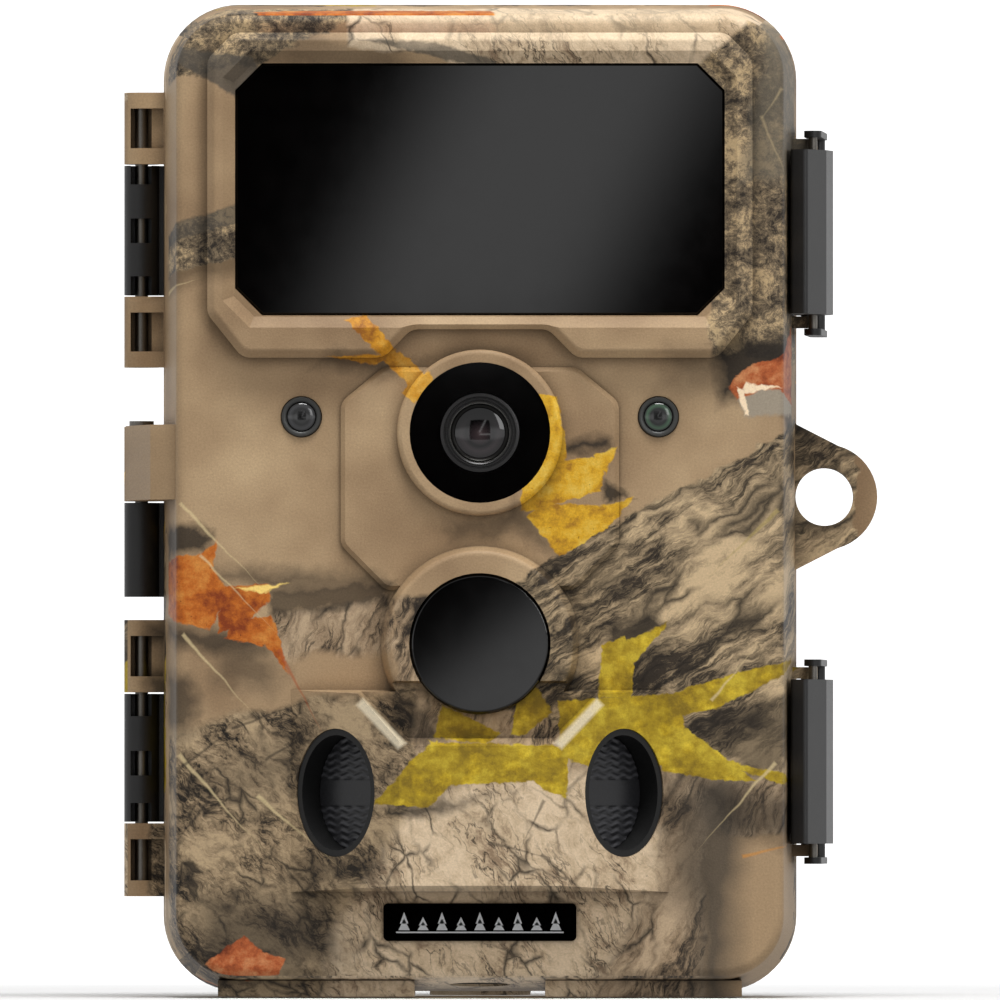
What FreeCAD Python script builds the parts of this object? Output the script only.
import FreeCAD, Part
import math
import os
import Sketcher
import PartDesign
from FreeCAD import Placement, Rotation, Vector

# A trail camera that opens like a book. The hollow front half swings on three hinges on the
# left (-X), and two over-centre latches pull it shut on the right (+X).
# Design frame: X to the right, Z up, the front faces -Y, and the halves meet at y = 0.
# Every sub-part is then moved back by tripod_depth, so that the mouth of the tripod thread
# in the bottom of the rear half is the origin.

DIMENSIONS = {
    # outer shells
    "body_width": 87.5, "body_bottom": 0.6, "body_top": 137.0, "corner_radius": 10.5,
    "front_depth": 30.0, "rear_depth": 24.0, "wall_draft": 4.0, "wall": 2.2,
    "front_edge_round": 1.4, "rear_edge_round": 2.5, "tripod_depth": 11.0,
    "foot_inner": 9.0, "foot_outer": 36.0, "part_gap": 0.15, "seat_gap": 0.05,
    # raised plateau and infrared window
    "plateau_half": 37.4, "plateau_top": 132.3, "plateau_bottom": 87.7, "plateau_height": 3.0,
    "plateau_chamfer": 1.0, "notch_top": 91.6, "window_half": 33.6, "window_top": 128.1,
    "window_bottom": 93.5, "window_corner": 3.7, "window_raise": 2.0, "window_thickness": 2.0,
    "window_ledge": 1.8,
    # lens group
    "lens_height": 77.4, "pod_half": 19.1, "pod_raise": 1.2, "lens_ring_radius": 11.4,
    "lens_ring_raise": 3.0, "lens_disc_radius": 9.6, "barrel_radius": 5.5, "glass_radius": 4.1,
    # centre motion sensor
    "sensor_height": 48.4, "sensor_ring_radius": 13.8, "sensor_ring_raise": 6.0,
    "sensor_disc_radius": 9.65,
    # lower pod with the two side motion sensors
    "nose_half": 11.0, "nose_base_half": 26.5, "nose_bottom": 14.3, "nose_top": 42.2,
    "nose_raise": 13.0, "facet_angle": 41.0, "side_eye_x": 19.8, "side_eye_height": 28.0,
    "side_eye_width": 7.15, "side_eye_rise": 8.8, "side_eye_depth": 4.4,
    # small round windows and badge
    "spot_x": 24.5, "spot_height": 79.6, "spot_radius": 2.8,
    "badge_half": 13.2, "badge_bottom": 7.7, "badge_top": 12.8, "badge_raise": 0.6,
    # hinges
    "hinge_x": -46.8, "knuckle_radius": 2.4, "pin_radius": 0.9, "pin_clearance": 0.05,
    # latches
    "latch_x": 45.1, "latch_y": -6.0, "latch_pin_radius": 0.8, "heel_radius": 1.45,
    "link_x": 45.9, "link_y": -11.2, "link_pin_radius": 0.6, "bar_x": 46.9, "bar_y": 7.2,
    "bar_radius": 0.9, "arm_thickness": 0.9, "arm_half": 1.2, "ear_thickness": 1.6,
    "lever_height": 22.6, "upper_latch_z": 105.2, "lower_latch_z": 32.3,
    # padlock tabs
    "tab_x": 47.6, "tab_z": 68.9, "tab_radius": 7.3, "tab_hole": 4.0, "tab_thickness": 2.9,
    # inside of the front half
    "panel_front": 3.6, "panel_back": 1.6, "panel_margin": 2.7,
    "key_radius": 3.6, "key_rise": 1.1, "key_z": 70.0, "key_pitch": 14.0,
    "display_half": 22.0, "display_low": 86.0, "display_high": 120.0,
    "switch_z": 52.0, "card_x": 14.0, "card_z": 36.0,
    # inside of the rear half
    "cell_radius": 7.2, "cell_length": 49.5, "cell_pitch": 15.2, "cell_y": 12.4,
    "lower_row": 13.6, "upper_row": 67.6, "bay_half": 31.0, "bay_low": 10.5, "bay_high": 120.0,
    "bay_floor": 20.0, "tray_front": 2.0, "tray_back": 3.8,
    # tree saddle
    "rib_x": 22.0, "rib_thickness": 3.6, "rib_low": 22.0, "rib_high": 116.0, "rib_depth": 10.0,
    "strap_low": 54.0, "strap_high": 83.0, "strap_gap": 4.8,
    # tripod thread, 1/4 inch
    "thread_radius": 3.175, "insert_radius": 4.6, "insert_length": 8.0,
}

doc = FreeCAD.newDocument("trail_camera")
dims = doc.addObject("Spreadsheet::Sheet", "dims")
for row, (alias, number) in enumerate(DIMENSIONS.items(), start=1):
    dims.set("A%d" % row, alias)
    dims.set("B%d" % row, str(number))
    dims.setAlias("B%d" % row, alias)
doc.recompute()


def on_sheet(expression):
    """The same expression with each dimension's name read from the sheet."""
    words = sorted(DIMENSIONS, key=len, reverse=True)
    text = str(expression)
    out = ""
    at = 0
    while at < len(text):
        is_start = at == 0 or not (text[at - 1].isalnum() or text[at - 1] == "_")
        word = next((w for w in words if is_start and text.startswith(w, at)), None)
        out += "dims." + word if word else text[at]
        at += len(word) if word else 1
    return out


def value(expression):
    """A number worked out from the sheet."""
    return float(dims.evalExpression(on_sheet(expression)))


def bind(item, prop, expression):
    item.setExpression(prop, on_sheet(expression))


# ---------------------------------------------------------------- bodies and sketches

sub_parts = []


def new_body(label):
    body = doc.addObject("PartDesign::Body", label)
    body.Label = label
    bind(body, "Placement.Base.y", "-tripod_depth")
    sub_parts.append(body)
    return body


def plane_of(body, role):
    return next(f for f in body.Origin.OriginFeatures if f.Role == role)


def sketch_on(body, role, offset="0"):
    """A sketch on one of the body's origin planes, moved along that plane's own normal.
    On the XZ plane the sketch's axes are X and Z, and its normal is -Y."""
    sketch = body.newObject("Sketcher::SketchObject", body.Label + "_sketch")
    sketch.AttachmentSupport = [(plane_of(body, role), "")]
    sketch.MapMode = "FlatFace"
    bind(sketch, "AttachmentOffset.Base.z", offset)
    return sketch


def fix_point(sketch, curve, end, across, up):
    """Bind one end of a curve to a place given by two expressions."""
    for kind, expression in (("DistanceX", across), ("DistanceY", up)):
        number = value(expression)
        index = sketch.addConstraint(Sketcher.Constraint(kind, -1, 1, curve, end, number))
        bind(sketch, "Constraints[%d]" % index, expression)


def add_polygon(sketch, points):
    """A closed outline of straight lines through points given as pairs of expressions."""
    places = [Vector(value(x), value(y), 0) for x, y in points]
    first = sketch.GeometryCount
    count = len(points)
    for i in range(count):
        sketch.addGeometry(Part.LineSegment(places[i], places[(i + 1) % count]), False)
    for i in range(count):
        after = first + (i + 1) % count
        sketch.addConstraint(Sketcher.Constraint("Coincident", first + i, 2, after, 1))
    for i, (x, y) in enumerate(points):
        fix_point(sketch, first + i, 1, x, y)


def add_box(sketch, left, right, low, high):
    add_polygon(sketch, [(left, low), (right, low), (right, high), (left, high)])


def add_circle(sketch, across, up, radius):
    middle = Vector(value(across), value(up), 0)
    index = sketch.addGeometry(Part.Circle(middle, Vector(0, 0, 1), value(radius)), False)
    fix_point(sketch, index, 3, across, up)
    number = sketch.addConstraint(Sketcher.Constraint("Radius", index, value(radius)))
    bind(sketch, "Constraints[%d]" % number, radius)


def add_ellipse(sketch, half_width, half_rise):
    """An upright ellipse about the sketch's own origin."""
    wide, tall = value(half_width), value(half_rise)
    shape = Part.Ellipse(Vector(0, tall, 0), Vector(-wide, 0, 0), Vector(0, 0, 0))
    index = sketch.addGeometry(shape, False)
    sketch.exposeInternalGeometry(index)
    sketch.addConstraint(Sketcher.Constraint("Coincident", index, 3, -1, 1))
    sketch.addConstraint(Sketcher.Constraint("Vertical", index + 1))
    for line, expression in ((index + 1, half_rise), (index + 2, half_width)):
        size = Sketcher.Constraint("Distance", line, 2 * value(expression))
        number = sketch.addConstraint(size)
        bind(sketch, "Constraints[%d]" % number, "2 * (%s)" % expression)


def add_round_box(sketch, left, right, low, high, radius):
    """A rectangle with round corners: four lines joined by tangent quarter arcs."""
    x0, x1, y0, y1, r = (value(e) for e in (left, right, low, high, radius))
    first = sketch.GeometryCount
    corners = [(x0 + r, y0 + r, 2), (x1 - r, y0 + r, 3), (x1 - r, y1 - r, 0), (x0 + r, y1 - r, 1)]
    starts = [Vector(x0 + r, y0, 0), Vector(x1, y0 + r, 0), Vector(x1 - r, y1, 0),
              Vector(x0, y1 - r, 0)]
    ends = [Vector(x1 - r, y0, 0), Vector(x1, y1 - r, 0), Vector(x0 + r, y1, 0),
            Vector(x0, y0 + r, 0)]
    for i in range(4):
        sketch.addGeometry(Part.LineSegment(starts[i], ends[i]), False)
    for i in range(4):
        cx, cy, quarter = corners[i]
        circle = Part.Circle(Vector(cx, cy, 0), Vector(0, 0, 1), r)
        arc = Part.ArcOfCircle(circle, quarter * math.pi / 2, (quarter + 1) * math.pi / 2)
        sketch.addGeometry(arc, False)
    for i in range(4):
        before = first + (i - 1) % 4
        arc = first + 4 + i
        sketch.addConstraint(Sketcher.Constraint("Tangent", before, 2, arc, 1))
        sketch.addConstraint(Sketcher.Constraint("Tangent", arc, 2, first + i, 1))
        direction = "Horizontal" if i % 2 == 0 else "Vertical"
        sketch.addConstraint(Sketcher.Constraint(direction, first + i))
        if i:
            sketch.addConstraint(Sketcher.Constraint("Equal", first + 4, arc))
    sides = (("DistanceY", 0, low), ("DistanceX", 1, right), ("DistanceY", 2, high),
             ("DistanceX", 3, left))
    for kind, line, expression in sides:
        size = Sketcher.Constraint(kind, -1, 1, first + line, 1, value(expression))
        number = sketch.addConstraint(size)
        bind(sketch, "Constraints[%d]" % number, expression)
    number = sketch.addConstraint(Sketcher.Constraint("Radius", first + 4, r))
    bind(sketch, "Constraints[%d]" % number, radius)


def settle(feature):
    """Recompute, and stop at the first feature that fails."""
    doc.recompute()
    if "Invalid" in feature.State or feature.Shape.isNull() or not feature.Shape.Solids:
        raise RuntimeError("%s failed: %s" % (feature.Name, feature.getStatusString()))
    return feature


def pad(body, sketch, length, taper=None, backward=False):
    """Material from a sketch, along its normal or backward from it."""
    feature = body.newObject("PartDesign::Pad", body.Label + "_pad")
    feature.Profile = sketch
    feature.Refine = True
    bind(feature, "Length", length)
    if taper:
        bind(feature, "TaperAngle", taper)
    feature.Reversed = backward
    return settle(feature)


def pocket(body, sketch, length, taper=None, along=True):
    """A cut from a sketch, along its normal unless along is False."""
    before = body.Tip.Shape.Volume
    feature = body.newObject("PartDesign::Pocket", body.Label + "_pocket")
    feature.Profile = sketch
    feature.Refine = True
    bind(feature, "Length", length)
    if taper:
        bind(feature, "TaperAngle", taper)
    feature.Reversed = along
    settle(feature)
    if not feature.Shape.Volume < before - 0.01:
        raise RuntimeError("a pocket of %s removes nothing" % body.Label)
    return feature


def edges_where(shape, test):
    """Names of the edges whose middle point passes the test."""
    names = []
    for index, edge in enumerate(shape.Edges, start=1):
        middle = edge.valueAt((edge.FirstParameter + edge.LastParameter) / 2)
        if test(middle, edge):
            names.append("Edge%d" % index)
    return names


def is_depth_edge(edge):
    """Whether an edge is straight and runs from front to back."""
    start, end = (vertex.Point for vertex in edge.Vertexes[:2])
    return abs(start.x - end.x) < 0.001 and abs(start.z - end.z) < 0.001


def dress(body, kind, size_name, size, test):
    """A fillet or chamfer on the edges of the body's tip that pass the test."""
    base = body.Tip
    names = edges_where(base.Shape, test)
    if not names:
        raise RuntimeError("no edge to dress on " + body.Label)
    feature = body.newObject("PartDesign::" + kind, body.Label + "_" + kind.lower())
    feature.Base = (base, names)
    bind(feature, size_name, size)
    return settle(feature)


def fillet(body, radius, test):
    return dress(body, "Fillet", "Radius", radius, test)


def chamfer(body, size, test):
    return dress(body, "Chamfer", "Size", size, test)


def box_pad(body, role, offset, length, left, right, low, high):
    """A plain block on one of the origin planes."""
    sketch = sketch_on(body, role, offset)
    add_box(sketch, left, right, low, high)
    return pad(body, sketch, length)


def box_pocket(body, role, offset, length, left, right, low, high):
    sketch = sketch_on(body, role, offset)
    add_box(sketch, left, right, low, high)
    return pocket(body, sketch, length)


def round_pad(body, role, offset, length, across, up, radius, taper=None):
    sketch = sketch_on(body, role, offset)
    add_circle(sketch, across, up, radius)
    return pad(body, sketch, length, taper)


def round_pocket(body, role, offset, length, across, up, radius, taper=None):
    sketch = sketch_on(body, role, offset)
    add_circle(sketch, across, up, radius)
    return pocket(body, sketch, length, taper)


def disc(label, across, up, front, thickness, radius, edge=None):
    """A round plate facing the front, front being the depth of its back face."""
    body = new_body(label)
    round_pad(body, "XZ_Plane", front, thickness, across, up, radius)
    if edge:
        face = -value(front) - value(thickness)
        fillet(body, edge, lambda p, e: abs(p.y - face) < 0.01)
    return body


# ---------------------------------------------------------------- hinges and latches, shared

# Each hinge: lowest and highest point of its front knuckles and of its rear knuckle.
HINGES = {
    "upper": {"front": [(114.9, 124.8), (86.8, 96.6)], "rear": (96.8, 114.7), "pin": (87.6, 124.0)},
    "middle": {"front": [(68.3, 78.6)], "rear": (55.1, 68.1), "pin": (55.9, 79.0)},
    "lower": {"front": [(41.9, 51.9), (13.7, 23.8)], "rear": (24.0, 41.7), "pin": (14.5, 51.1)},
}
LATCHES = {"upper": "upper_latch_z", "lower": "lower_latch_z"}


def knuckle(body, low, high, front):
    """A hinge knuckle round the pin, with a web that joins it to the wall of its half."""
    length = str(high - low)
    round_pad(body, "XY_Plane", str(low), length, "hinge_x", "0", "knuckle_radius")
    near, far = ("-knuckle_radius", "-part_gap") if front else ("part_gap", "knuckle_radius")
    inner = "-body_width/2 + wall/2"
    box_pad(body, "XY_Plane", str(low), length, "hinge_x", inner, near, far)


def bore_knuckles(body, low, high, radius):
    round_pocket(body, "XY_Plane", str(low - 1), str(high - low + 2), "hinge_x", "0", radius)


def pin_window(body, low, high):
    """A moulded opening in the face of a knuckle, through which its pin shows."""
    box_pocket(body, "XZ_Plane", "-0.6", "knuckle_radius + 1", "hinge_x - 1.5",
               "hinge_x + 1.4", str(low), str(high))


def latch_ears(body, middle):
    """Two ears that hold a latch lever's pin, one above the lever and one below it."""
    inner = "lever_height/2 + part_gap"
    for start in ("%s + %s" % (middle, inner), "%s - (%s) - ear_thickness" % (middle, inner)):
        round_pad(body, "XY_Plane", start, "ear_thickness", "latch_x", "latch_y", "1.5")
        box_pad(body, "XY_Plane", start, "ear_thickness", "body_width/2 - wall/2 - 0.6",
                "latch_x", "latch_y - 3.2", "latch_y + 1.5")
    whole = "lever_height + 2*ear_thickness + 2"
    round_pocket(body, "XY_Plane", "%s - (%s)/2" % (middle, whole), whole, "latch_x", "latch_y",
                 "latch_pin_radius")


def padlock_tab(body, offset):
    """A flat eye on the right-hand wall, for a padlock."""
    sketch = sketch_on(body, "XZ_Plane", offset)
    root = "body_width/2 - wall/2"
    edge = "body_width/2"
    shoulder = "tab_x + 2.2"
    add_polygon(sketch, [(root, "tab_z - 11"), (edge, "tab_z - 10"), (shoulder, "tab_z - 6.9"),
                         (shoulder, "tab_z + 6.9"), (edge, "tab_z + 10"), (root, "tab_z + 11")])
    pad(body, sketch, "tab_thickness")
    round_pad(body, "XZ_Plane", offset, "tab_thickness", "tab_x", "tab_z", "tab_radius")
    box_pocket(body, "XZ_Plane", offset, "tab_thickness", "tab_x - tab_radius - 1",
               "body_width/2 - wall - 0.2", "tab_z - 8", "tab_z + 8")
    round_pocket(body, "XZ_Plane", offset + " - 1", "tab_thickness + 2", "tab_x", "tab_z",
                 "tab_hole")


def feet(body, near, length):
    """Two flat feet under a half, level with the bottom of the camera."""
    sketch = sketch_on(body, "XY_Plane", "0")
    for left, right in (("-foot_outer", "-foot_inner"), ("foot_inner", "foot_outer")):
        add_box(sketch, left, right, near, "%s + %s" % (near, length))
    pad(body, sketch, "body_bottom + 1.6")


# ---------------------------------------------------------------- front half

def make_front_cover():
    body = new_body("front_cover")
    outline = sketch_on(body, "XZ_Plane")
    add_round_box(outline, "-body_width/2", "body_width/2", "body_bottom", "body_top",
                  "corner_radius")
    pad(body, outline, "front_depth", "-wall_draft")
    face = -value("front_depth")
    fillet(body, "front_edge_round", lambda p, e: abs(p.y - face) < 0.01)

    # the plateau that carries the infrared window, notched above the lens
    plateau = sketch_on(body, "XZ_Plane", "front_depth - 1")
    side = "plateau_half"
    add_polygon(plateau, [
        ("-%s" % side, "plateau_bottom + 6"), ("-%s + 4.8" % side, "plateau_bottom"),
        ("-13.2", "plateau_bottom"), ("-9.4", "notch_top"), ("9.4", "notch_top"),
        ("13.2", "plateau_bottom"), ("%s - 4.8" % side, "plateau_bottom"),
        (side, "plateau_bottom + 6"), (side, "plateau_top - 3.6"),
        ("%s - 3.6" % side, "plateau_top"), ("-%s + 3.6" % side, "plateau_top"),
        ("-%s" % side, "plateau_top - 3.6")])
    pad(body, plateau, "1 + plateau_height")
    top = face - value("plateau_height")
    rounded = value("plateau_bottom") - 0.5
    fillet(body, "2.4", lambda p, e: is_depth_edge(e) and top < p.y < face + 0.5
           and p.z > rounded)
    chamfer(body, "plateau_chamfer", lambda p, e: abs(p.y - top) < 0.01)

    # the eight-sided step round the lens, and the ring that shades the lens
    step = sketch_on(body, "XZ_Plane", "front_depth - 1")
    add_polygon(step, [
        ("-13.3", "lens_height + 9"), ("-pod_half", "lens_height + 4.2"),
        ("-pod_half", "lens_height - 15.4"), ("-13", "lens_height - 21.6"),
        ("13", "lens_height - 21.6"), ("pod_half", "lens_height - 15.4"),
        ("pod_half", "lens_height + 4.2"), ("13.3", "lens_height + 9")])
    pad(body, step, "1 + pod_raise")
    step_face = face - value("pod_raise")
    below = value("plateau_bottom") - 1
    fillet(body, "2.2", lambda p, e: is_depth_edge(e) and step_face < p.y < face + 0.5
           and p.z < below and abs(p.x) < 20)
    chamfer(body, "0.6", lambda p, e: abs(p.y - step_face) < 0.01)
    round_pad(body, "XZ_Plane", "front_depth - 1", "1 + lens_ring_raise", "0", "lens_height",
              "lens_ring_radius")
    ring_face = face - value("lens_ring_raise")
    fillet(body, "0.7", lambda p, e: abs(p.y - ring_face) < 0.01)

    # the ring round the centre motion sensor
    round_pad(body, "XZ_Plane", "front_depth - 1", "1 + sensor_ring_raise", "0",
              "sensor_height", "sensor_ring_radius", "-8")
    eye_face = face - value("sensor_ring_raise")
    fillet(body, "0.8", lambda p, e: abs(p.y - eye_face) < 0.01)

    # the nose below it, with a slanted facet on each side
    nose = sketch_on(body, "XZ_Plane", "front_depth - 1")
    add_box(nose, "-nose_base_half - 1", "nose_base_half + 1", "nose_bottom", "nose_top")
    pad(body, nose, "1 + nose_raise", "-4")
    facets = sketch_on(body, "XY_Plane", "nose_bottom - 2")
    run = "nose_raise / tan(facet_angle)"
    for sign in ("-", ""):
        tip = "%s(nose_half)" % sign
        foot = "%s(nose_half + %s)" % (sign, run)
        out = "%s(nose_base_half + 8)" % sign
        add_polygon(facets, [(tip, "-front_depth - nose_raise - 1"),
                             (tip, "-front_depth - nose_raise"), (foot, "-front_depth - 0.01"),
                             (out, "-front_depth - 0.01"),
                             (out, "-front_depth - nose_raise - 1")])
    pocket(body, facets, "nose_top - nose_bottom + 4")
    saddle = sketch_on(body, "XZ_Plane", "front_depth + nose_raise + 0.01")
    add_polygon(saddle, [("-20.2", "nose_top + 2"), ("-10.4", "nose_top - 7.8"),
                         ("10.4", "nose_top - 7.8"), ("20.2", "nose_top + 2")])
    pocket(body, saddle, "nose_raise - sensor_ring_raise + 2.4", "-7", along=False)
    return body


def hollow_front_cover(body):
    hollow = sketch_on(body, "XZ_Plane", "-0.01")
    add_round_box(hollow, "-body_width/2 + wall", "body_width/2 - wall", "body_bottom + wall",
                  "body_top - wall", "corner_radius - wall")
    pocket(body, hollow, "front_depth - wall + 0.01", "-wall_draft")
    inside = "front_depth - wall - 0.5"
    # behind the plateau the wall is cut back to a ledge, and the window sits in front of it
    opening = sketch_on(body, "XZ_Plane", inside)
    add_box(opening, "-window_half + window_ledge", "window_half - window_ledge",
            "window_bottom + window_ledge", "window_top - window_ledge")
    pocket(body, opening, "8")
    bezel = sketch_on(body, "XZ_Plane", "front_depth + plateau_height")
    add_window_outline(bezel, "-1.7")
    pocket(body, bezel, "plateau_height - window_raise + 0.2", "-52", along=False)
    seat = sketch_on(body, "XZ_Plane", "front_depth + window_raise - window_thickness")
    add_window_outline(seat, "0")
    pocket(body, seat, "4")
    # lens, centre sensor
    round_pocket(body, "XZ_Plane", inside, "12", "0", "lens_height", "barrel_radius + 1")
    round_pocket(body, "XZ_Plane", "front_depth + lens_ring_raise - 1.7", "6", "0",
                 "lens_height", "lens_disc_radius + seat_gap")
    round_pocket(body, "XZ_Plane", inside, "20", "0", "sensor_height", "sensor_disc_radius - 1.2")
    round_pocket(body, "XZ_Plane", "front_depth + sensor_ring_raise - 2.4", "6", "0",
                 "sensor_height", "sensor_disc_radius + seat_gap")
    # small windows
    for side in ("-spot_x", "spot_x"):
        round_pocket(body, "XZ_Plane", inside, "6", side, "spot_height", "spot_radius - 0.8")
        round_pocket(body, "XZ_Plane", "front_depth - 1", "6", side, "spot_height",
                     "spot_radius + seat_gap")
    # hollow nose, following its facets
    core = sketch_on(body, "XY_Plane", "nose_bottom + 7")
    run = "(nose_raise - 2) / tan(facet_angle)"
    add_polygon(core, [("-nose_half + 1 - %s" % run, "-%s" % inside),
                       ("-nose_half + 1 - %s" % run, "-front_depth + 0.5"),
                       ("-nose_half + 1", "-front_depth - nose_raise + 2.4"),
                       ("nose_half - 1", "-front_depth - nose_raise + 2.4"),
                       ("nose_half - 1 + %s" % run, "-front_depth + 0.5"),
                       ("nose_half - 1 + %s" % run, "-%s" % inside)])
    pocket(body, core, "nose_top - nose_bottom - 17")
    for sign in (-1, 1):
        cut_side_eye(body, sign)
    # badge recess and power socket hole
    badge = sketch_on(body, "XZ_Plane", "front_depth - 0.6")
    add_round_box(badge, "-badge_half - seat_gap", "badge_half + seat_gap",
                  "badge_bottom - seat_gap", "badge_top + seat_gap", "0.7")
    pocket(body, badge, "2")
    round_pocket(body, "XY_Plane", "-0.5", "5", "0", "-14", "4.2")


def add_window_outline(sketch, inset):
    """The infrared window's outline: a rectangle with its corners cut off."""
    side = "(window_half - %s)" % inset
    low = "(window_bottom + %s)" % inset
    high = "(window_top - %s)" % inset
    cut = "window_corner"
    add_polygon(sketch, [
        ("-%s" % side, "%s + %s" % (low, cut)), ("-%s + %s" % (side, cut), low),
        ("%s - %s" % (side, cut), low), (side, "%s + %s" % (low, cut)),
        (side, "%s - %s" % (high, cut)), ("%s - %s" % (side, cut), high),
        ("-%s + %s" % (side, cut), high), ("-%s" % side, "%s - %s" % (high, cut))])


def side_eye_sketch(body, sign, depth, grow):
    """An upright ellipse on a facet of the nose, depth being how far behind the facet."""
    sketch = body.newObject("Sketcher::SketchObject", body.Label + "_eye")
    sketch.AttachmentSupport = [(plane_of(body, "XZ_Plane"), "")]
    sketch.MapMode = "FlatFace"
    angle = value("facet_angle")
    sketch.AttachmentOffset = Placement(Vector(0, 0, 0), Rotation(Vector(0, 1, 0), sign * angle))
    out = "front_depth + nose_raise - (side_eye_x - nose_half) * tan(facet_angle)"
    bind(sketch, "AttachmentOffset.Base.x",
         "%d * (side_eye_x - (%s) * sin(facet_angle))" % (sign, depth))
    bind(sketch, "AttachmentOffset.Base.y", "side_eye_height")
    bind(sketch, "AttachmentOffset.Base.z", "%s - (%s) * cos(facet_angle)" % (out, depth))
    add_ellipse(sketch, "side_eye_width + " + grow, "side_eye_rise + " + grow)
    return sketch


def cut_side_eye(body, sign):
    pocket(body, side_eye_sketch(body, sign, "side_eye_depth + 1.2", "0"), "12")


def finish_front_cover(body):
    """The hinge knuckles, latch ears, padlock tab and feet, outside the hollow shell."""
    for hinge in HINGES.values():
        for low, high in hinge["front"]:
            knuckle(body, low, high, True)
    for hinge in HINGES.values():
        low = min(span[0] for span in hinge["front"])
        high = max(span[1] for span in hinge["front"])
        bore_knuckles(body, low, high, "pin_radius + pin_clearance")
    for name in ("upper", "lower"):
        for low, high in HINGES[name]["front"]:
            pin_window(body, low + 2.2, high - 2.2)
            box_pocket(body, "XZ_Plane", "1", "knuckle_radius", "hinge_x + 1.3",
                       "-body_width/2", str(low + 2.2), str(high - 2.2))
    # the middle arm runs up the side wall to the front face
    low, high = HINGES["middle"]["front"][0]
    arm = sketch_on(body, "XY_Plane", str(low))
    add_polygon(arm, [("-body_width/2 + wall/2", "-knuckle_radius"),
                      ("hinge_x - 1.9", "-knuckle_radius + 0.8"), ("hinge_x - 2.1", "-9"),
                      ("hinge_x + 1.5", "-front_depth + 5"),
                      ("-body_width/2 + wall + 1", "-front_depth + 1.6"),
                      ("-body_width/2 + wall + 0.6", "-front_depth + 8")])
    pad(body, arm, str(high - low))
    for middle in LATCHES.values():
        latch_ears(body, middle)
    padlock_tab(body, "part_gap")
    feet(body, "-25", "22")


def make_front_half():
    cover = make_front_cover()
    hollow_front_cover(cover)
    finish_front_cover(cover)

    window = new_body("infrared_window")
    pane = sketch_on(window, "XZ_Plane", "front_depth + window_raise - window_thickness")
    add_window_outline(pane, "seat_gap")
    pad(window, pane, "window_thickness - 0.35")
    window_face = -value("front_depth + window_raise - 0.35")
    chamfer(window, "0.3", lambda p, e: abs(p.y - window_face) < 0.01)

    board = new_body("led_board")
    box_pad(board, "XZ_Plane", "front_depth - 7", "1.2", "-31", "31", "95.5", "126")
    make_leds()

    make_lens()
    make_centre_sensor()
    for side, sign in (("left", -1), ("right", 1)):
        make_side_sensor(side, sign)
        disc("spot_window_" + side, "%d * spot_x" % sign, "spot_height", "front_depth - 0.95",
             "1.15", "spot_radius", "0.25")
    badge = new_body("badge_plate")
    plate = sketch_on(badge, "XZ_Plane", "front_depth - 0.55")
    add_round_box(plate, "-badge_half", "badge_half", "badge_bottom", "badge_top", "0.6")
    pad(badge, plate, "badge_raise + 0.55")
    make_inner_panel()
    make_controls()
    make_electronics()


def make_leds():
    """Four rows of infrared lamps on the board: a base flange and a domed body each."""
    lamps = new_body("infrared_lamps")
    for radius, start, length in (("2.9", "front_depth - 5.75", "0.9"),
                                  ("2.5", "front_depth - 4.85", "2.6")):
        sketch = sketch_on(lamps, "XZ_Plane", start)
        for line in range(4):
            for column in range(8):
                across = "%.2f" % ((column - 3.5) * 7.4)
                add_circle(sketch, across, "%.2f" % (99.9 + line * 7.2), radius)
        pad(lamps, sketch, length)


def make_lens():
    disc_body = disc("lens_bezel", "0", "lens_height", "front_depth + lens_ring_raise - 1.65",
                     "1.1", "lens_disc_radius")
    round_pocket(disc_body, "XZ_Plane", "front_depth", "6", "0", "lens_height",
                 "barrel_radius + seat_gap")
    barrel = disc("lens_barrel", "0", "lens_height", "front_depth - 14", "16.0",
                  "barrel_radius", "0.4")
    round_pocket(barrel, "XZ_Plane", "front_depth - 13", "30", "0", "lens_height",
                 "glass_radius - 0.9")
    round_pocket(barrel, "XZ_Plane", "front_depth + 0.4", "30", "0", "lens_height",
                 "glass_radius + seat_gap", "5")
    glass = disc("lens_glass", "0", "lens_height", "front_depth + 0.4", "1.1", "glass_radius")
    fillet(glass, "0.9", lambda p, e: p.y < -value("front_depth + 1.4"))
    module = new_body("image_sensor")
    box_pad(module, "XZ_Plane", "front_depth - 16.2", "1.2", "-8", "8", "lens_height - 8",
            "lens_height + 8")
    box_pad(module, "XZ_Plane", "front_depth - 15.0", "0.9", "-5", "5", "lens_height - 5",
            "lens_height + 5")


def make_centre_sensor():
    disc("sensor_window", "0", "sensor_height", "front_depth + sensor_ring_raise - 2.35",
         "1.9", "sensor_disc_radius", "0.5")
    can = disc("motion_sensor", "0", "sensor_height", "front_depth - 4", "3.2", "4.6", "0.4")
    round_pad(can, "XZ_Plane", "front_depth - 5.2", "1.2", "0", "sensor_height", "7.4")


def make_side_sensor(side, sign):
    """A tube set in the nose's facet, and the ridged lens at the bottom of it."""
    tube = new_body("side_tube_" + side)
    pad(tube, side_eye_sketch(tube, sign, "side_eye_depth + 0.9", "-seat_gap"),
        "side_eye_depth + 0.7")
    pocket(tube, side_eye_sketch(tube, sign, "side_eye_depth + 0.05", "-0.9"), "8")
    pocket(tube, side_eye_sketch(tube, sign, "side_eye_depth + 2", "-2.4"), "8")
    lens = new_body("side_lens_" + side)
    pad(lens, side_eye_sketch(lens, sign, "side_eye_depth", "-0.95"), "0.8")


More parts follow.
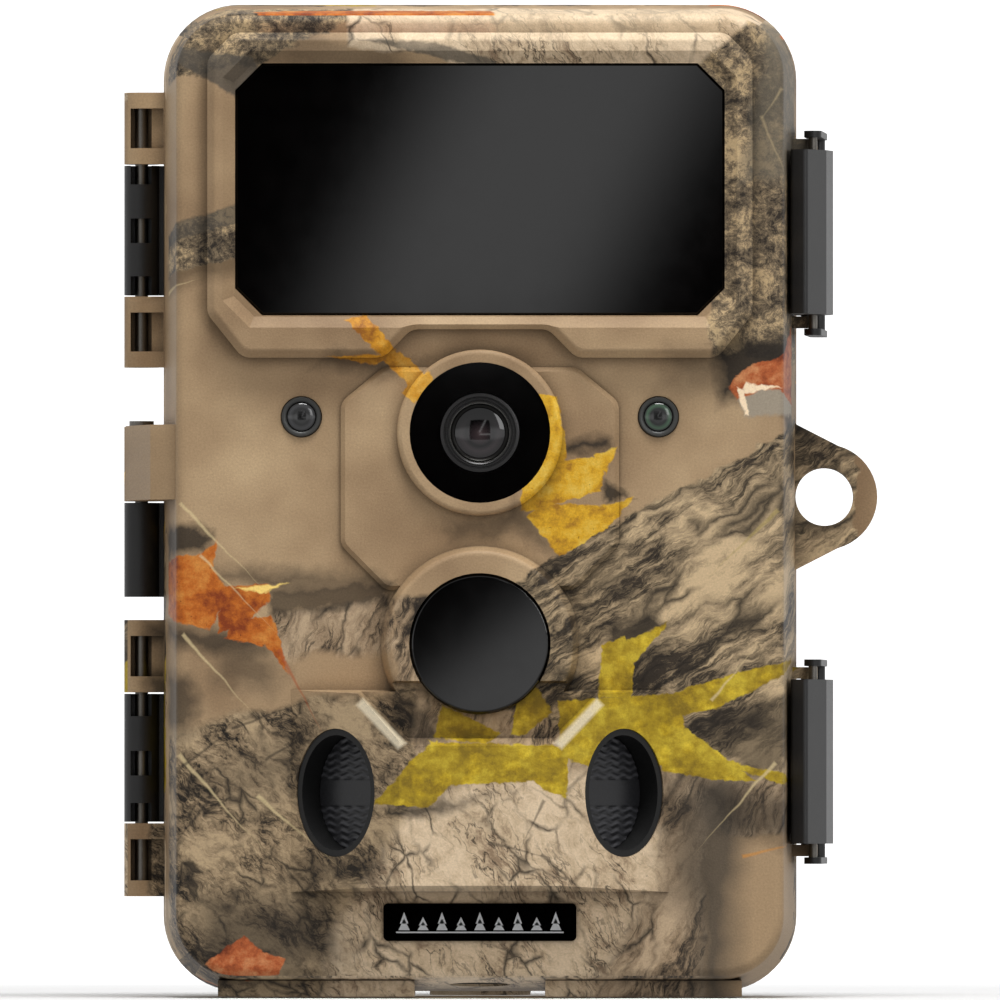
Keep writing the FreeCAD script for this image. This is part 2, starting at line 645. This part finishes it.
def make_inner_panel():
    """The black panel that closes the front half from behind, with its openings."""
    body = new_body("inner_panel")
    plate = sketch_on(body, "XZ_Plane", "panel_back")
    edge = "panel_margin"
    add_round_box(plate, "-body_width/2 + " + edge, "body_width/2 - " + edge,
                  "body_bottom + " + edge, "body_top - " + edge, "corner_radius - " + edge)
    pad(body, plate, "panel_front - panel_back")
    rim = sketch_on(body, "XZ_Plane", "0.2")
    for inset in (0.6, 2.2):
        side = "%s + %.2f" % (edge, inset)
        add_round_box(rim, "-body_width/2 + " + side, "body_width/2 - (%s)" % side,
                      "body_bottom + " + side, "body_top - (%s)" % side,
                      "corner_radius - (%s)" % side)
    pad(body, rim, "panel_back")
    box_pocket(body, "XZ_Plane", "0", "5", "-display_half", "display_half", "display_low",
               "display_high")
    for place in range(4):
        round_pocket(body, "XZ_Plane", "0", "5", "%.1f * key_pitch" % (place - 1.5), "key_z",
                     "key_radius + 0.2")
    box_pocket(body, "XZ_Plane", "0", "5", "-5.4", "5.4", "switch_z - 1.6", "switch_z + 1.6")
    box_pocket(body, "XZ_Plane", "0", "5", "card_x - 5.9", "card_x + 5.9", "card_z - 0.8",
               "card_z + 0.8")
    box_pocket(body, "XZ_Plane", "0", "5", "-card_x - 4.2", "-card_x + 4.2", "card_z - 2",
               "card_z + 2")
    slots = sketch_on(body, "XZ_Plane", "0")
    for step in range(5):
        add_box(slots, "-6", "6", "%.1f" % (17 + 2.4 * step), "%.1f" % (18 + 2.4 * step))
    pocket(body, slots, "5")
    holes = sketch_on(body, "XZ_Plane", "0")
    for x, z in PANEL_SCREWS:
        add_circle(holes, x, z, "1.15")
    pocket(body, holes, "5")


PANEL_SCREWS = [(x, z) for x in ("-33", "33") for z in ("12", "68.5", "125")]
TRAY_SCREWS = [(x, z) for x in ("-36", "36") for z in ("16", "120")]


def screws(label, places, head_depth, shank, toward_front):
    """Screws of one size in one group, each with a flat round head."""
    body = new_body(label)
    heads = sketch_on(body, "XZ_Plane", head_depth)
    for x, z in places:
        add_circle(heads, x, z, "2.1")
    pad(body, heads, "1.1", backward=not toward_front)
    shanks = sketch_on(body, "XZ_Plane", head_depth)
    for x, z in places:
        add_circle(shanks, x, z, "1.05")
    pad(body, shanks, shank, backward=toward_front)
    return body


def make_controls():
    window = new_body("display_window")
    box_pad(window, "XZ_Plane", "panel_back + 0.1", "1.2", "-display_half + seat_gap",
            "display_half - seat_gap", "display_low + seat_gap", "display_high - seat_gap")
    display = new_body("display_module")
    box_pad(display, "XZ_Plane", "panel_front + 0.1", "2.4", "-25", "25", "display_low - 4",
            "display_high + 3")
    for place, name in enumerate(("key_menu", "key_down", "key_up", "key_ok")):
        across = "%.1f * key_pitch" % (place - 1.5)
        key = new_body(name)
        round_pad(key, "XZ_Plane", "panel_back - key_rise", "key_rise + 2.2", across, "key_z",
                  "key_radius")
        top = -value("panel_back - key_rise")
        fillet(key, "0.5", lambda p, e: abs(p.y - top) < 0.01)
        round_pad(key, "XZ_Plane", "panel_front + 0.15 + 0.6", "0.6", across, "key_z",
                  "key_radius + 1")
        round_pad(key, "XZ_Plane", "panel_back", "panel_front - panel_back + 1", across, "key_z",
                  "key_radius - 0.4")
    knob = new_body("mode_switch")
    box_pad(knob, "XZ_Plane", "0.6", "3.6", "-2", "2", "switch_z - 1.4", "switch_z + 1.4")
    box_pad(knob, "XZ_Plane", "panel_front + 0.15", "0.9", "-5.2", "5.2", "switch_z - 2.6",
            "switch_z + 2.6")
    card = new_body("memory_card")
    box_pad(card, "XZ_Plane", "0.7", "15", "card_x - 5.5", "card_x + 5.5", "card_z - 0.5",
            "card_z + 0.5")


def make_electronics():
    board = new_body("main_board")
    box_pad(board, "XZ_Plane", "8.6", "1.4", "-34", "34", "18", "130")
    card_slot = sketch_on(board, "XZ_Plane", "8")
    add_box(card_slot, "card_x - 7.6", "card_x + 7.6", "card_z - 2.6", "card_z + 2.6")
    pocket(board, card_slot, "3")
    holes = sketch_on(board, "XZ_Plane", "8")
    for x, z in PANEL_SCREWS:
        add_circle(holes, x, z, "3.2")
    pocket(board, holes, "3")
    socket = new_body("card_socket")
    box_pad(socket, "XZ_Plane", "4.2", "12.4", "card_x - 7.2", "card_x + 7.2", "card_z - 2.2",
            "card_z + 2.2")
    box_pocket(socket, "XZ_Plane", "4", "12", "card_x - 5.7", "card_x + 5.7", "card_z - 0.7",
               "card_z + 0.7")
    chips = new_body("board_chips")
    for left, right, low, high in (("-9", "5", "96", "110"), ("10", "20", "100", "108"),
                                   ("-24", "-14", "84", "92"), ("-22", "-12", "60", "68")):
        box_pad(chips, "XZ_Plane", "10.05", "1.5", left, right, low, high)
    port = new_body("usb_port")
    box_pad(port, "XZ_Plane", "2.2", "6.3", "-card_x - 3.9", "-card_x + 3.9", "card_z - 1.8",
            "card_z + 1.8")
    box_pocket(port, "XZ_Plane", "2", "5", "-card_x - 3.4", "-card_x + 3.4", "card_z - 1.3",
               "card_z + 1.3")
    speaker = disc("speaker", "0", "22.3", "panel_front + 0.1", "3.2", "7.2", "0.5")
    screws("panel_screws", PANEL_SCREWS, "panel_back - 0.05", "6", False)
    jack = new_body("power_jack")
    box_pad(jack, "XY_Plane", "4.4", "11", "-4.5", "4.5", "-18.5", "-9.6")
    round_pocket(jack, "XY_Plane", "4", "9", "0", "-14", "2.75")
    plug = new_body("power_plug")
    round_pad(plug, "XY_Plane", "1.7", "2.6", "0", "-14", "3.9")
    round_pad(plug, "XY_Plane", "4.0", "6", "0", "-14", "2.55")


# ---------------------------------------------------------------- latches

def make_latch(name, middle):
    low = "%s - lever_height/2" % middle
    lever = new_body("latch_lever_" + name)
    heel = sketch_on(lever, "XY_Plane", low)
    add_circle(heel, "latch_x", "latch_y", "heel_radius")
    pad(lever, heel, "lever_height")
    blade = sketch_on(lever, "XY_Plane", low)
    add_polygon(blade, [
        ("latch_x - heel_radius", "latch_y"), ("latch_x - 2.4", "latch_y - 16.2"),
        ("latch_x - 0.2", "latch_y - 17"), ("latch_x + 2.6", "latch_y - 11.4"),
        ("latch_x + 3.6", "latch_y - 6.4"), ("latch_x + 3.2", "latch_y - 2.6"),
        ("latch_x + 1.2", "latch_y")])
    pad(lever, blade, "lever_height")
    fillet(lever, "0.6", lambda p, e: e.Length > 20 and p.y < value("latch_y - 2"))
    round_pocket(lever, "XY_Plane", low + " - 1", "lever_height + 2", "latch_x", "latch_y",
                 "latch_pin_radius + pin_clearance")
    round_pocket(lever, "XY_Plane", low + " - 1", "lever_height + 2", "link_x", "link_y",
                 "link_pin_radius")

    span = "lever_height/2 + 2*part_gap + ear_thickness"
    link = new_body("latch_link_" + name)
    for start in ("%s + %s" % (middle, span), "%s - (%s) - arm_thickness" % (middle, span)):
        arm = sketch_on(link, "XY_Plane", start)
        add_polygon(arm, [("link_x - arm_half", "link_y"), ("link_x + arm_half", "link_y"),
                          ("bar_x + arm_half", "bar_y"), ("bar_x - arm_half", "bar_y")])
        pad(link, arm, "arm_thickness")
        for x, y in (("link_x", "link_y"), ("bar_x", "bar_y")):
            round_pad(link, "XY_Plane", start, "arm_thickness", x, y, "arm_half")
    whole = "2*(%s + arm_thickness)" % span
    bottom = "%s - (%s)/2" % (middle, whole)
    round_pad(link, "XY_Plane", bottom, whole, "bar_x", "bar_y", "bar_radius")
    round_pocket(link, "XY_Plane", bottom + " - 1", whole + " + 2", "link_x", "link_y",
                 "link_pin_radius + pin_clearance")

    lever_pin = new_body("lever_pin_" + name)
    ears = "lever_height + 2*part_gap + 2*ear_thickness"
    round_pad(lever_pin, "XY_Plane", "%s - (%s)/2" % (middle, ears), ears, "latch_x", "latch_y",
              "latch_pin_radius")
    link_pin = new_body("link_pin_" + name)
    round_pad(link_pin, "XY_Plane", bottom, whole, "link_x", "link_y", "link_pin_radius")


# ---------------------------------------------------------------- rear half

def make_rear_housing():
    body = new_body("rear_housing")
    outline = sketch_on(body, "XZ_Plane", "-part_gap")
    add_round_box(outline, "-body_width/2", "body_width/2", "body_bottom", "body_top",
                  "corner_radius")
    pad(body, outline, "rear_depth - part_gap", "-wall_draft", backward=True)
    back = value("rear_depth")
    fillet(body, "rear_edge_round", lambda p, e: abs(p.y - back) < 0.01)
    hollow = sketch_on(body, "XZ_Plane", "0")
    add_round_box(hollow, "-body_width/2 + wall", "body_width/2 - wall", "body_bottom + wall",
                  "body_top - wall", "corner_radius - wall")
    pocket(body, hollow, "rear_depth - wall", "-wall_draft", along=False)

    # catches that the latch bars reach over
    for middle in LATCHES.values():
        catch = sketch_on(body, "XY_Plane", "%s - lever_height/2 + 1" % middle)
        add_polygon(catch, [("body_width/2 - wall/2 - 0.3", "2.4"),
                            ("body_width/2 + 0.7", "2.8"), ("body_width/2 + 1.9", "4.2"),
                            ("body_width/2 + 1.9", "5.6"), ("body_width/2 + 0.2", "6.6"),
                            ("body_width/2 - wall/2 - 0.6", "8")])
        pad(body, catch, "lever_height - 2")
    padlock_tab(body, "-part_gap - tab_thickness")
    feet(body, "3", "18")

    # boss for the tripod thread
    round_pad(body, "XY_Plane", "0", "insert_length + 1", "0", "tripod_depth", "7")
    round_pocket(body, "XY_Plane", "-1", "insert_length + 1", "0", "tripod_depth",
                 "insert_radius")

    # two toothed ribs that grip a tree, with a slot in each for the strap
    for left in ("-rib_x - rib_thickness", "rib_x"):
        rib = sketch_on(body, "YZ_Plane", left)
        near = "rear_depth - 1"
        far = "rear_depth + rib_depth"
        points = [(near, "rib_low"), (far + " - 3.5", "rib_low + 3"), (far, "rib_low + 8")]
        pitch = 6.5
        count = 12
        for tooth in range(count):
            z = tooth * pitch
            points.append((far, "rib_low + 8 + %.2f" % (z + 3.9)))
            points.append((far + " - 1.6", "rib_low + 8 + %.2f" % (z + 5.2)))
            points.append((far, "rib_low + 8 + %.2f" % (z + 6.5)))
        points += [(far + " - 3.5", "rib_high - 3"), (near, "rib_high")]
        add_polygon(rib, points)
        pad(body, rib, "rib_thickness")
        slot = sketch_on(body, "YZ_Plane", left + " - 1")
        add_round_box(slot, "rear_depth + 1.2", "rear_depth + 1.2 + strap_gap", "strap_low",
                      "strap_high", "1.5")
        pocket(body, slot, "rib_thickness + 2")
    bosses = sketch_on(body, "XZ_Plane", "-tray_back - 0.1")
    for x, z in TRAY_SCREWS:
        add_circle(bosses, x, z, "2.6")
    pad(body, bosses, "rear_depth - tray_back - 1", backward=True)
    holes = sketch_on(body, "XZ_Plane", "-tray_back")
    for x, z in TRAY_SCREWS:
        add_circle(holes, x, z, "1.05")
    pocket(body, holes, "9", along=False)
    return body


def make_hinge_bracket(name, low, high, windows):
    """A black rear knuckle whose web sits in a notch of the rear wall."""
    body = new_body("hinge_bracket_" + name)
    knuckle(body, low, high, False)
    bore_knuckles(body, low, high, "pin_radius")
    for start, end in windows:
        pin_window(body, start, end)
    return body


def make_rear_half():
    housing = make_rear_housing()
    # notches in the wall for the webs of the black knuckles
    for hinge in HINGES.values():
        low, high = hinge["rear"]
        box_pocket(housing, "XY_Plane", "%.2f" % (low - 0.03), "%.2f" % (high - low + 0.06),
                   "hinge_x", "-body_width/2 + wall/2 + seat_gap", "-1",
                   "knuckle_radius + seat_gap")
    make_hinge_bracket("upper", *HINGES["upper"]["rear"],
                       [(96, 99.4), (104, 107.4), (112.1, 116)])
    make_hinge_bracket("middle", *HINGES["middle"]["rear"], [])
    make_hinge_bracket("lower", *HINGES["lower"]["rear"],
                       [(23, 26.6), (30.4, 33.8), (38.6, 43)])
    for name, hinge in HINGES.items():
        low, high = hinge["pin"]
        pin = new_body("hinge_pin_" + name)
        round_pad(pin, "XY_Plane", str(low), str(high - low), "hinge_x", "0", "pin_radius")
        if name == "middle":
            top = hinge["front"][0][1] + 0.1
            round_pad(pin, "XY_Plane", str(top), "0.7", "hinge_x", "0", "1.7")

    insert = new_body("tripod_insert")
    round_pad(insert, "XY_Plane", "0", "insert_length", "0", "tripod_depth",
              "insert_radius - seat_gap")
    round_pocket(insert, "XY_Plane", "-1", "insert_length + 2", "0", "tripod_depth",
                 "thread_radius")

    seal = new_body("rim_seal")
    ring = sketch_on(seal, "XZ_Plane", "-0.35")
    for inset in ("wall + 0.25", "wall + 3.2"):
        add_round_box(ring, "-body_width/2 + " + inset, "body_width/2 - (%s)" % inset,
                      "body_bottom + " + inset, "body_top - (%s)" % inset,
                      "corner_radius - (%s)" % inset)
    pad(seal, ring, "tray_front - 0.4", backward=True)

    make_battery_tray()
    screws("tray_screws", TRAY_SCREWS, "-tray_front", "8", True)


def make_battery_tray():
    body = new_body("battery_tray")
    edge = "wall + 0.6"
    plate = sketch_on(body, "XZ_Plane", "-tray_front")
    add_round_box(plate, "-body_width/2 + " + edge, "body_width/2 - (%s)" % edge,
                  "body_bottom + " + edge, "body_top - (%s)" % edge,
                  "corner_radius - (%s)" % edge)
    pad(body, plate, "tray_back - tray_front", backward=True)
    tub = sketch_on(body, "XZ_Plane", "-tray_front")
    add_box(tub, "-bay_half - 1.2", "bay_half + 1.2", "bay_low - 0.5", "bay_high + 1.2")
    pad(body, tub, "bay_floor + 1.2 - tray_front", backward=True)
    bay = sketch_on(body, "XZ_Plane", "0")
    add_box(bay, "-bay_half", "bay_half", "bay_low + 0.7", "bay_high")
    pocket(body, bay, "bay_floor", along=False)
    # a shelf between the two rows, and low dividers between the cells
    box_pad(body, "XZ_Plane", "-bay_floor - 0.2", "bay_floor - 4", "-bay_half - 0.2",
            "bay_half + 0.2", "upper_row - 2.6", "upper_row - 1.6")
    dividers = sketch_on(body, "XZ_Plane", "-bay_floor - 0.2")
    for place in (-1, 0, 1):
        x = "%d * cell_pitch" % place
        add_box(dividers, x + " - 0.35", x + " + 0.35", "bay_low + 4", "upper_row - 6")
        add_box(dividers, x + " - 0.35", x + " + 0.35", "upper_row + 2", "bay_high - 5")
    pad(body, dividers, "6")
    holes = sketch_on(body, "XZ_Plane", "0")
    for x, z in TRAY_SCREWS:
        add_circle(holes, x, z, "1.15")
    pocket(body, holes, "6", along=False)

    cells = new_body("aa_cells")
    contacts = new_body("battery_contacts")
    springs = new_body("battery_springs")
    for row in ("lower_row", "upper_row"):
        for place in range(4):
            across = "%.1f * cell_pitch" % (place - 1.5)
            up = place % 2 == 0
            round_pad(cells, "XY_Plane", row, "cell_length - 1", across, "cell_y", "cell_radius")
            nub = row + (" + cell_length - 1" if up else " - 1")
            round_pad(cells, "XY_Plane", nub, "1", across, "cell_y", "2.7")
            plus = row + (" + cell_length + 0.1" if up else " - 1.5")
            box_pad(contacts, "XY_Plane", plus, "0.4", across + " - 4", across + " + 4",
                    "cell_y - 5", "cell_y + 5")
            minus = row + (" - 1.5" if up else " + cell_length + 0.1")
            box_pad(contacts, "XY_Plane", minus, "0.4", across + " - 4", across + " + 4",
                    "cell_y - 5", "cell_y + 5")
            leaf = row + (" - 1.05" if up else " + cell_length - 0.95")
            round_pad(springs, "XY_Plane", leaf, "0.95", across, "cell_y", "3")


def export_all():
    """Check every object and every sub-part, and then write one file per sub-part."""
    doc.recompute()
    for item in doc.Objects:
        if "Invalid" in item.State or "Error" in item.State:
            raise RuntimeError("%s failed: %s" % (item.Label, item.State))
    for item in sub_parts:
        shape = item.Shape
        if shape.isNull() or not shape.isValid() or not shape.Solids:
            raise RuntimeError(item.Label + " is not a valid solid")
    os.makedirs("parts", exist_ok=True)
    for item in sub_parts:
        item.Shape.exportStep(os.path.join("parts", item.Label + ".step"))
    print("%d sub-parts" % len(sub_parts))


make_front_half()
for latch, height in LATCHES.items():
    make_latch(latch, height)
make_rear_half()
export_all()
